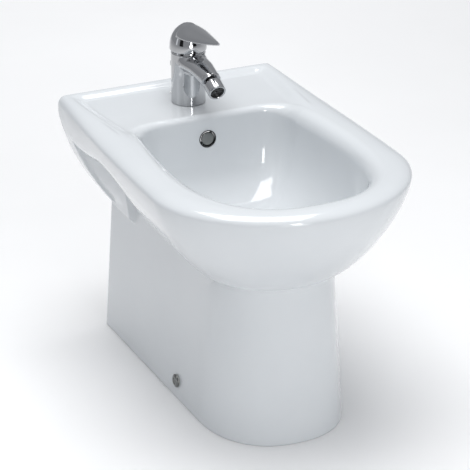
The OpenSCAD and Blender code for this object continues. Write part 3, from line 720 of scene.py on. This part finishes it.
def curve(x, xs, ys):
    """Smooth curve through a few points, without overshoot."""
    xs, ys = np.array(xs, float), np.array(ys, float)
    d = np.diff(ys) / np.diff(xs)
    m = np.concatenate([[d[0]], (d[:-1] + d[1:]) / 2, [d[-1]]])
    for i in range(1, len(m) - 1):
        if d[i - 1] * d[i] <= 0:
            m[i] = 0
        else:
            m[i] = np.sign(d[i]) * min(abs(m[i]), 3 * abs(d[i - 1]), 3 * abs(d[i]))
    x = np.clip(x, xs[0], xs[-1])
    i = np.clip(np.searchsorted(xs, x, side="right") - 1, 0, len(xs) - 2)
    h = xs[i + 1] - xs[i]
    t = (x - xs[i]) / h
    return ((2 * t**3 - 3 * t**2 + 1) * ys[i] + (t**3 - 2 * t**2 + t) * h * m[i]
            + (-2 * t**3 + 3 * t**2) * ys[i + 1] + (t**3 - t**2) * h * m[i + 1])


NOSE_F, NOSE_Z = 79.0, 58.6
NF, NZ = math.cos(math.radians(TILT)), -math.sin(math.radians(TILT))


def body_field(x, f, z):
    """Below zero inside the tap body; f runs forward from its axis, z up from the deck."""
    r = np.hypot(x, f)
    cyl = cap_max(r - 25.2, z - 77.45, 0.6)
    cyl = cap_max(cyl, 0.45 - z, 1.0)
    at = [0, 25, 45, 62, 80, 90]
    a = curve(f, at, [21.5, 20.6, 18.4, 16.2, 14.0, 13.8])
    z0 = curve(f, at, [64.0, 65.4, 65.2, 62.8, 58.8, 56.0])
    up = curve(f, at, [12.4, 13.0, 13.0, 13.2, 13.4, 13.6])
    dn = curve(f, at, [9.0, 10.6, 11.2, 12.0, 13.2, 13.6])
    b = np.where(z > z0, up, dn)
    m = 2.15
    q = np.power(np.power(np.abs(x) / a, m) + np.power(np.abs(z - z0) / b, m), 1 / m)
    spout = np.maximum((q - 1) * np.minimum(a, b), 4 - f)
    d = smin(cyl, spout, 0.5 + 8.5 * ease(8, 26, f))
    d = cap_max(d, np.minimum(z - 77.45, 28.2 - r), 0.6)
    s = (f - NOSE_F) * NF + (z - NOSE_Z) * NZ
    d = cap_max(d, s + 3.0, 0.8)
    # cartridge bore, and the seat of the nozzle's ball
    d = cap_max(d, np.minimum(17.5 - r, z - 34), 0.4)
    t = np.hypot(x, (f - NOSE_F) * -NZ + (z - NOSE_Z) * NF)
    return cap_max(d, np.minimum(9.6 - t, s + 10.4), 0.4)


def lever_field(x, f, z):
    r = np.hypot(x, f)
    rr = curve(z, [78, 81.5, 84, 90, 95, 100, 105, 110, 114, 117, 119, 120.1],
               [26.9, 27.0, 27.1, 26.8, 26.0, 24.6, 22.3, 18.9, 14.9, 10.8, 6.8, 0.5])
    head = np.maximum((r - rr) * 0.8, z - 120.1)
    hw = curve(f, [-4, 8, 20, 30, 42, 56, 70, 84, 95, 103, 107.4, 108.4],
               [17.5, 22.2, 23.0, 22.2, 19.9, 16.9, 13.4, 9.6, 6.3, 3.5, 1.5, 0.3])
    t = np.clip(f / 108.4, 0, 1)
    ze = 106.2 + 16.2 * np.power(t, 1.75)
    zc = 119.3 + 4.9 * np.power(t, 1.45)
    u = np.clip(np.abs(x) / hw, 0, 1)
    top = ze + (zc - ze) * np.power(np.maximum(1 - np.power(u, 2.1), 0), 0.7)
    slope = 1 / np.sqrt(1 + ((zc - ze) / np.maximum(hw, 4)) ** 2)
    leaf = cap_max(cap_max((z - top) * slope, ze - 1.5 - z, 0.9), (np.abs(x) - hw) * 0.9, 0.9)
    leaf = np.maximum(cap_max(leaf, f - 108.2, 1.0), -f - 2)
    d = smin(head, leaf, 0.4 + 2.6 * ease(0, 14, f))
    d = cap_max(d, 26.7 - np.sqrt(r * r + (z - PIVOT) ** 2), 0.5)
    return cap_max(d, 81.4 - z, 0.7)


def field_mesh(name, fn, lo, hi, h, mat):
    """Smooth closed mesh of a field's zero surface, with the field's own normals."""
    ax = [np.arange(lo[k], hi[k] + h, h) for k in range(3)]
    V = fn(*np.meshgrid(*ax, indexing="ij"))
    S = V < 0
    n = np.array(V.shape) - 1
    c = np.zeros(n, int)
    for a in (0, 1):
        for b in (0, 1):
            for d in (0, 1):
                c += S[a:n[0] + a, b:n[1] + b, d:n[2] + d]
    act = (c > 0) & (c < 8)
    idx = -np.ones(n, int)
    idx[act] = np.arange(act.sum())
    ci = np.argwhere(act)
    P = np.zeros((len(ci), 3))
    cnt = np.zeros(len(ci))
    for k in range(3):
        o1, o2 = [q for q in range(3) if q != k]
        for u in (0, 1):
            for w in (0, 1):
                a = np.zeros(3, int)
                a[o1], a[o2] = u, w
                b = a.copy()
                b[k] = 1
                pa, pb = ci + a, ci + b
                va, vb = V[tuple(pa.T)], V[tuple(pb.T)]
                on = (va < 0) != (vb < 0)
                t = va[on] / (va[on] - vb[on])
                P[on] += pa[on] + t[:, None] * (b - a)
                cnt[on] += 1
    P = P / cnt[:, None] * h + np.array([q[0] for q in ax])

    def grad(P, e):
        return np.stack([
            fn(P[:, 0] + e, P[:, 1], P[:, 2]) - fn(P[:, 0] - e, P[:, 1], P[:, 2]),
            fn(P[:, 0], P[:, 1] + e, P[:, 2]) - fn(P[:, 0], P[:, 1] - e, P[:, 2]),
            fn(P[:, 0], P[:, 1], P[:, 2] + e) - fn(P[:, 0], P[:, 1], P[:, 2] - e)], 1) / (2 * e)

    for _ in range(4):
        v = fn(P[:, 0], P[:, 1], P[:, 2])
        g = grad(P, 0.02)
        step = (v / np.maximum((g * g).sum(1), 0.05))[:, None] * g
        l = np.linalg.norm(step, axis=1, keepdims=True)
        P -= step * np.minimum(1, 0.4 * h / np.maximum(l, 1e-9))
    faces = []
    for k in range(3):
        o1, o2 = [q for q in range(3) if q != k]
        lo_s, hi_s = [slice(None)] * 3, [slice(None)] * 3
        lo_s[k], hi_s[k] = slice(0, -1), slice(1, None)
        A, B = S[tuple(lo_s)], S[tuple(hi_s)]
        e_pos = np.argwhere(A != B)
        inside = A[tuple(e_pos.T)]
        q = []
        for u, w in ((-1, -1), (0, -1), (0, 0), (-1, 0)):
            p = e_pos.copy()
            p[:, o1] += u
            p[:, o2] += w
            q.append(idx[tuple(p.T)])
        q = np.stack(q, 1)
        flip = inside if k == 1 else ~inside
        q[flip] = q[flip][:, ::-1]
        faces.append(q)
    N = grad(P, 0.12)
    N = N / np.maximum(np.linalg.norm(N, axis=1, keepdims=True), 1e-9) * np.array([1, -1, 1])
    W = np.stack([P[:, 0], YW - TAP_F - P[:, 1], DECK + P[:, 2]], 1)
    F = np.concatenate(faces)
    a, b, c_, d = (W[F[:, k]] for k in range(4))
    vol = (np.cross(b - a, c_ - a) * a).sum() + (np.cross(c_ - a, d - a) * a).sum()
    if vol < 0:
        F = F[:, ::-1]
    me = bpy.data.meshes.new(name)
    me.from_pydata((W / 1000).tolist(), [], F.tolist())
    o = bpy.data.objects.new(name, me)
    scene.collection.objects.link(o)
    me.materials.append(mat)
    me.shade_smooth()
    me.normals_split_custom_set_from_vertices(N.tolist())
    return o


def show(o, body, node):
    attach(o, body)
    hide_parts(node)
    return o


def join(name, objs):
    """One mesh with every given object's mesh in it; the objects are used up."""
    a = objs[0]
    bpy.ops.object.select_all(action="DESELECT")
    for o in objs:
        o.select_set(True)
    bpy.context.view_layer.objects.active = a
    bpy.ops.object.join()
    a.name = name
    return a


H = 0.75
NOZZLE = place(0, YW - TAP_F - NOSE_F, DECK + NOSE_Z, rx=90 + TILT)
TAP = place(0, YW - TAP_F, DECK)
OVER = place(0, YW - IN_F0 - 0.4, 343, rx=90)
WASTE = place(0, YW - WASTE_F, 0)
LIFT = place(LIFT_X, YW - LIFT_F, 0)


def arc(cx, cz, r, a0, a1, n):
    return [(cx + r * math.cos(math.radians(mix(a0, a1, k / n))), cz + r * math.sin(math.radians(mix(a0, a1, k / n)))) for k in range(n + 1)]


show(field_mesh("tap_shell", body_field, (-29, -28, -2), (29, 94, 80), H, CHROME), "china", "tap_body")
show(field_mesh("lever_shell", lever_field, (-29, -29, 79), (29, 111, 126), H, CHROME), "lever", "lever_handle")

cover = [(17.4, 7.5), (25.0, 7.5)] + arc(0, 0, 26.2, 18, 58, 24) + arc(0, 0, 23.6, 58, 26, 18) + [(21.2, 9.6), (15.8, 9.6), (15.8, -4), (17.4, -4)]
show(lathe("cover_dome", [(r, z + PIVOT) for r, z in cover], CHROME, TAP, 144), "china", "cartridge_cover")

collar = rounded([(11.05, -2.8), (14.1, -2.8), (14.7, -2.1), (14.7, 1.9), (12.9, 3.3)], [0, 0.3, 0.4, 0.8, 0.4]) + \
    arc(0, -1, 9.65, 27.1, 6.6, 10) + [(11.05, 0.109)]
show(lathe("collar", collar, CHROME, NOZZLE, 128), "china", "collar_nut")

ball = arc(0, -1, 9, -63.6, 46.4, 36) + [(6.2, 19), (4, 19)]
show(lathe("swivel_ball", ball, CHROME, NOZZLE, 128), "nozzle", "nozzle_ball")
sleeve = rounded([(6.2, 9), (8.8, 6.7), (11.2, 7.1), (13.2, 9), (13, 24.5), (10, 24.5), (10, 17), (6.2, 17)], [0, 0.8, 0.9, 1.2, 0.35, 0, 0, 0])
show(lathe("sleeve", sleeve, CHROME, NOZZLE, 128), "nozzle", "nozzle_sleeve")
ring = rounded([(10, 24.5), (12.7, 24.5), (13, 25.4), (12.4, 26.4), (10.8, 26.4), (10, 25.6)], [0, 0.2, 0.5, 0.5, 0.5, 0.4])
show(lathe("outlet_ring", ring, CHROME, NOZZLE, 128), "nozzle", "aerator_ring")

# overflow
o_ring = [(11.6, -12), (12.3, -12), (12.3, 0), (12.9, 0)] + arc(12.35, 0.75, 0.75, -20, 160, 12) + [(11.6, 0.6)]
# the overflow rim carries a painted shadow: its near-black chrome stands for the shade in the gap
show(lathe("overflow_rim", o_ring, GAP_SHADOW_CHROME, OVER, 128), "china", "overflow_ring")
disc = rounded([(0, -1.6), (9.6, -1.6), (9.9, -1.2), (9.9, 0.2), (9.3, 0.85), (5, 1.3), (0, 1.45)], [0, 0, 0.2, 0.5, 0.6, 0, 0])
# the overflow disc is chrome darkened with painted shade
parts = [lathe("cap_disc", disc, SHADED_CHROME, OVER, 128), lathe("cap_hub", [(0, -8), (4.5, -8), (4.5, -1.4), (0, -1.4)], SHADED_CHROME, OVER, 64)]
for k in range(4):
    a = math.radians(45 + 90 * k)
    c, s_ = math.cos(a), math.sin(a)
    pts = [(4 * c - w * s_, 4 * s_ + w * c) for w in (-0.5, 0.5)] + [(11.6 * c - w * s_, 11.6 * s_ + w * c) for w in (0.5, -0.5)]
    v = np.array([(x, y, z) for z in (-8, -1.5) for x, y in pts]) @ OVER[:3, :3].T + OVER[:3, 3]
    fin = new_object("fin", v, [[3, 2, 1, 0], [4, 5, 6, 7]] + [[j, (j + 1) % 4, 4 + (j + 1) % 4, 4 + j] for j in range(4)], SHADED_CHROME)
    fix_normals(fin)
    parts.append(fin)
show(join("overflow_disc", parts), "china", "overflow_cap")

# waste
flange = [(16, 236), (19, 236), (19, 242.5)] + rounded([(31, 242.5), (31.5, 243.4), (31, 244.3), (20.8, 244.3), (18.8, 243.2), (17.4, 241)], [0.2, 0.5, 0.5, 1.6, 0.8, 1.2]) + [(16, 238)]
show(lathe("waste_ring", flange, CHROME, WASTE, 144), "china", "waste_flange")
plug = [(0, 176.9), (2.4, 176.9), (3, 178), (3, 236), (8, 240), (15.2, 240), (16.6, 241.6), (17.6, 243.4)] + \
    rounded([(19.4, 245.2), (19.4, 246.2), (18.6, 247.2), (14, 248.6), (7, 249.4)], [0.4, 0.5, 0.9, 3, 5]) + [(0, 249.75)]
parts = [lathe("plug_top", [(r, z + 6.5) for r, z in plug], CHROME, WASTE, 144)]
for w, d in ((13.6, 0.8), (0.8, 13.6)):
    v = np.array([(x, y, z) for z in (206.5, 240.5) for x, y in ((-w, -d), (w, -d), (w, d), (-w, d))]) + WASTE[:3, 3]
    fin = new_object("fin", v, [[3, 2, 1, 0], [4, 5, 6, 7]] + [[j, (j + 1) % 4, 4 + (j + 1) % 4, 4 + j] for j in range(4)], CHROME)
    fix_normals(fin)
    parts.append(fin)
show(join("plug", parts), "plug", "waste_plug")

# lift rod and its knob
show(lathe("rod", rounded([(0, 138), (2.5, 138), (2.5, 421.4), (0, 421.4)], [0, 0.5, 0, 0]), CHROME, LIFT, 48), "lift", "lift_rod")
knob = rounded([(2.5, 419.2), (3, 419.2), (3.9, 420.2), (4.8, 422), (4.8, 425.8), (4.2, 428.2), (2.4, 429.6)], [0, 0.3, 0.8, 1.6, 1.6, 1.6, 1.4]) + [(0, 429.95), (0, 421.4), (2.5, 421.4)]
show(lathe("knob", knob, CHROME, LIFT, 96), "lift", "lift_knob")
guide = rounded([(2.55, 364), (4.9, 364), (4.9, 378), (6, 378), (6, 378.6), (5.4, 379.2), (2.55, 379.2)], [0, 0, 0, 0.2, 0.4, 0.4, 0])
show(lathe("guide", guide, WHITE, LIFT, 96), "china", "rod_guide")

# caps of the side screws
FACE_X = FOOT_W - 0.0632 * FIX_Z
cap = [(5.7, 1.4 + 1.65)] + [(5.7, 1.4)] + rounded([(9.6, 1.4), (10, 2.2), (9.4, 3.6), (7.5, 4.8), (5.5, 5.0), (4.8, 4.2), (3, 4.6)], [0.2, 0.5, 1.2, 1.4, 0.6, 0.6, 0.8]) + [(0, 5.6), (0, 3.05)]
caps = []
for side in (1, -1):
    # the screw caps are chrome darkened with painted shade
    caps.append(lathe("cap", cap, SHADED_CHROME, place(side * FACE_X, YW - FIX_F, FIX_Z, ry=90 * side), 128))
show(join("screw_caps", caps), "china", "fixing_caps")


# ------------------------------------------------------------------ finishes of the other nodes
FINISH = {
    "chrome": CHROME, "steel": STEEL, "brass": BRASS, "rubber": RUBBER, "white_plastic": WHITE,
    "nylon": NYLON, "dark_plastic": DARK, "indicator": INDICATOR, "china": GLAZE,
}
# overflow_cap and fixing_caps get chrome darkened with painted shade
# overflow_ring gets near-black chrome as a painted shadow of the gap
NODE_MAT = {
    "overflow_ring": GAP_SHADOW_CHROME, "overflow_cap": SHADED_CHROME,
    "waste_flange": CHROME, "waste_gasket_top": RUBBER, "waste_body": CHROME, "waste_gasket_bottom": RUBBER,
    "waste_backnut": BRASS, "waste_plug": CHROME, "plug_seal": RUBBER, "ball_rod": CHROME, "ball_seal": NYLON,
    "ball_nut": CHROME, "lift_rod": CHROME, "lift_knob": CHROME, "rod_guide": WHITE, "rod_clamp": STEEL,
    "clamp_screws": STEEL, "trap_inlet_nut": WHITE, "trap_inlet_seal": RUBBER, "trap_body": WHITE,
    "trap_cup": WHITE, "trap_cup_seal": RUBBER, "trap_outlet_nut": WHITE, "trap_outlet_seal": RUBBER,
    "trap_outlet_pipe": WHITE, "tap_body": CHROME, "base_gasket": RUBBER, "mounting_stud": BRASS,
    "horseshoe_gasket": RUBBER, "horseshoe_plate": BRASS, "stud_nut": BRASS, "cartridge": NYLON,
    "cartridge_nut": BRASS, "cartridge_cover": CHROME, "stem_carrier": NYLON, "stem_pin": STEEL,
    "lever_stem": BRASS, "lever_handle": CHROME, "lever_grub_screw": STEEL, "indicator_plug": INDICATOR,
    "collar_nut": CHROME, "ball_washer": NYLON, "nozzle_ball": CHROME, "nozzle_sleeve": CHROME,
    "aerator_insert": DARK, "aerator_ring": CHROME, "fixing_brackets": WHITE, "fixing_sleeves": NYLON,
    "fixing_screws": STEEL, "fixing_caps": SHADED_CHROME,
}
for n, mat in NODE_MAT.items():
    if n in nodes:
        me = nodes[n].data
        me.materials.clear()
        me.materials.append(mat)

# ------------------------------------------------------------------ stage, light, camera
fme = bpy.data.meshes.new("floor")
s = 9.0
fme.from_pydata([(-s, -s, 0), (s, -s, 0), (s, s, 0), (-s, s, 0)], [], [(0, 1, 2, 3)])
floor = bpy.data.objects.new("floor", fme)
scene.collection.objects.link(floor)
fm, nt, b, tc = node_tree("floor")
nt.links.new(ramp(nt, noise(nt, tc, 3, 3), [(0.3, (0.93, 0.93, 0.93)), (0.7, (0.95, 0.95, 0.95))]), b.inputs["Base Color"])
b.inputs["Roughness"].default_value = 0.9
b.inputs["Specular IOR Level"].default_value = 0.1
fme.materials.append(fm)

world = bpy.data.worlds.new("studio")
scene.world = world
world.use_nodes = True
wt = world.node_tree
for n in list(wt.nodes):
    wt.nodes.remove(n)
wo = wt.nodes.new("ShaderNodeOutputWorld")
bg = wt.nodes.new("ShaderNodeBackground")
wtc = wt.nodes.new("ShaderNodeTexCoord")
sep = wt.nodes.new("ShaderNodeSeparateXYZ")
wt.links.new(wtc.outputs["Generated"], sep.inputs["Vector"])
wr = wt.nodes.new("ShaderNodeMapRange")
wr.inputs["From Min"].default_value = -0.2
wr.inputs["From Max"].default_value = 1.0
wt.links.new(sep.outputs["Z"], wr.inputs["Value"])
rr = wt.nodes.new("ShaderNodeValToRGB")
els = rr.color_ramp.elements
els[0].position, els[0].color = 0.0, (0.40, 0.41, 0.43, 1)
els[1].position, els[1].color = 1.0, (0.60, 0.61, 0.63, 1)
e = els.new(0.5)
e.color = (0.40, 0.41, 0.43, 1)
wt.links.new(wr.outputs["Result"], rr.inputs["Fac"])
# two dark flags and a narrow strip stand round the object at its own height
azi = wt.nodes.new("ShaderNodeMath")
azi.operation = "ARCTAN2"
neg = wt.nodes.new("ShaderNodeMath")
neg.operation = "MULTIPLY"
neg.inputs[1].default_value = -1.0
wt.links.new(sep.outputs["Y"], neg.inputs[0])
wt.links.new(sep.outputs["X"], azi.inputs[0])
wt.links.new(neg.outputs["Value"], azi.inputs[1])
am = wt.nodes.new("ShaderNodeMapRange")
am.inputs["From Min"].default_value = -math.pi
am.inputs["From Max"].default_value = math.pi
wt.links.new(azi.outputs["Value"], am.inputs["Value"])
ar = wt.nodes.new("ShaderNodeValToRGB")
stops = [(-180, 1.0), (-106, 1.0), (-103, 2.6), (-96, 2.6), (-93, 1.0), (-80, 1.0), (-76, 0.05), (-57, 0.05), (-52, 1.0), (6, 1.0), (9, 0.04), (27, 0.04), (31, 1.0), (180, 1.0)]
els = ar.color_ramp.elements
els[0].position, els[0].color = 0.0, (1 / 3, 1 / 3, 1 / 3, 1)
els[1].position, els[1].color = 1.0, (1 / 3, 1 / 3, 1 / 3, 1)
for deg, v in stops[1:-1]:
    e = els.new((deg + 180) / 360)
    e.color = (v / 3, v / 3, v / 3, 1)
wt.links.new(am.outputs["Result"], ar.inputs["Fac"])
fade = wt.nodes.new("ShaderNodeMapRange")
fade.interpolation_type = "SMOOTHSTEP"
fade.inputs["From Min"].default_value = 0.62
fade.inputs["From Max"].default_value = 0.45
fade.inputs["To Min"].default_value = 0.0
fade.inputs["To Max"].default_value = 1.0
wt.links.new(sep.outputs["Z"], fade.inputs["Value"])
flag = wt.nodes.new("ShaderNodeMixRGB")
flag.inputs["Color1"].default_value = (1 / 3, 1 / 3, 1 / 3, 1)
wt.links.new(fade.outputs["Result"], flag.inputs["Fac"])
wt.links.new(ar.outputs["Color"], flag.inputs["Color2"])
mul = wt.nodes.new("ShaderNodeMixRGB")
mul.blend_type = "MULTIPLY"
mul.inputs["Fac"].default_value = 1.0
wt.links.new(rr.outputs["Color"], mul.inputs["Color1"])
wt.links.new(flag.outputs["Color"], mul.inputs["Color2"])
wt.links.new(mul.outputs["Color"], bg.inputs["Color"])
bg.inputs["Strength"].default_value = 2.9
wt.links.new(bg.outputs["Background"], wo.inputs["Surface"])


def area(name, loc, aim, size, power, colour=(1, 1, 1), size_y=None):
    l = bpy.data.lights.new(name, "AREA")
    l.energy = power
    l.color = colour
    l.shape = "RECTANGLE"
    l.size = size
    l.size_y = size_y or size
    o = bpy.data.objects.new(name, l)
    scene.collection.objects.link(o)
    o.location = loc
    o.rotation_euler = (Vector(aim) - Vector(loc)).to_track_quat("-Z", "Y").to_euler()
    return o


area("key", (-0.15, -2.7, 1.35), (0, 0, 0.25), 0.34, 14, size_y=1.4)
area("top", (-0.12, 0.05, 2.4), (0, 0, 0.3), 1.5, 37)
area("fill", (-0.25, -2.5, 0.40), (0, 0, 0.22), 0.8, 6, size_y=0.5)
wash = bpy.data.lights.new("wash", "SPOT")
wash.energy = 110
wash.spot_size = math.radians(62)
wash.spot_blend = 1.0
wash.shadow_soft_size = 0.3
wash_o = bpy.data.objects.new("wash", wash)
scene.collection.objects.link(wash_o)
wash_o.location = (0.6, 2.3, 3.4)

cam_data = bpy.data.cameras.new("camera")
cam = bpy.data.objects.new("camera", cam_data)
scene.collection.objects.link(cam)
cam.location = (-1.3800, -2.9547, 1.7021)
cam.rotation_euler = Vector((0.38289, 0.82844, -0.40877)).to_track_quat("-Z", "Y").to_euler()
cam_data.sensor_width = 36
cam_data.lens = 192.76
cam_data.clip_start = 0.01
cam_data.clip_end = 100
scene.camera = cam
scene.view_settings.view_transform = "Standard"
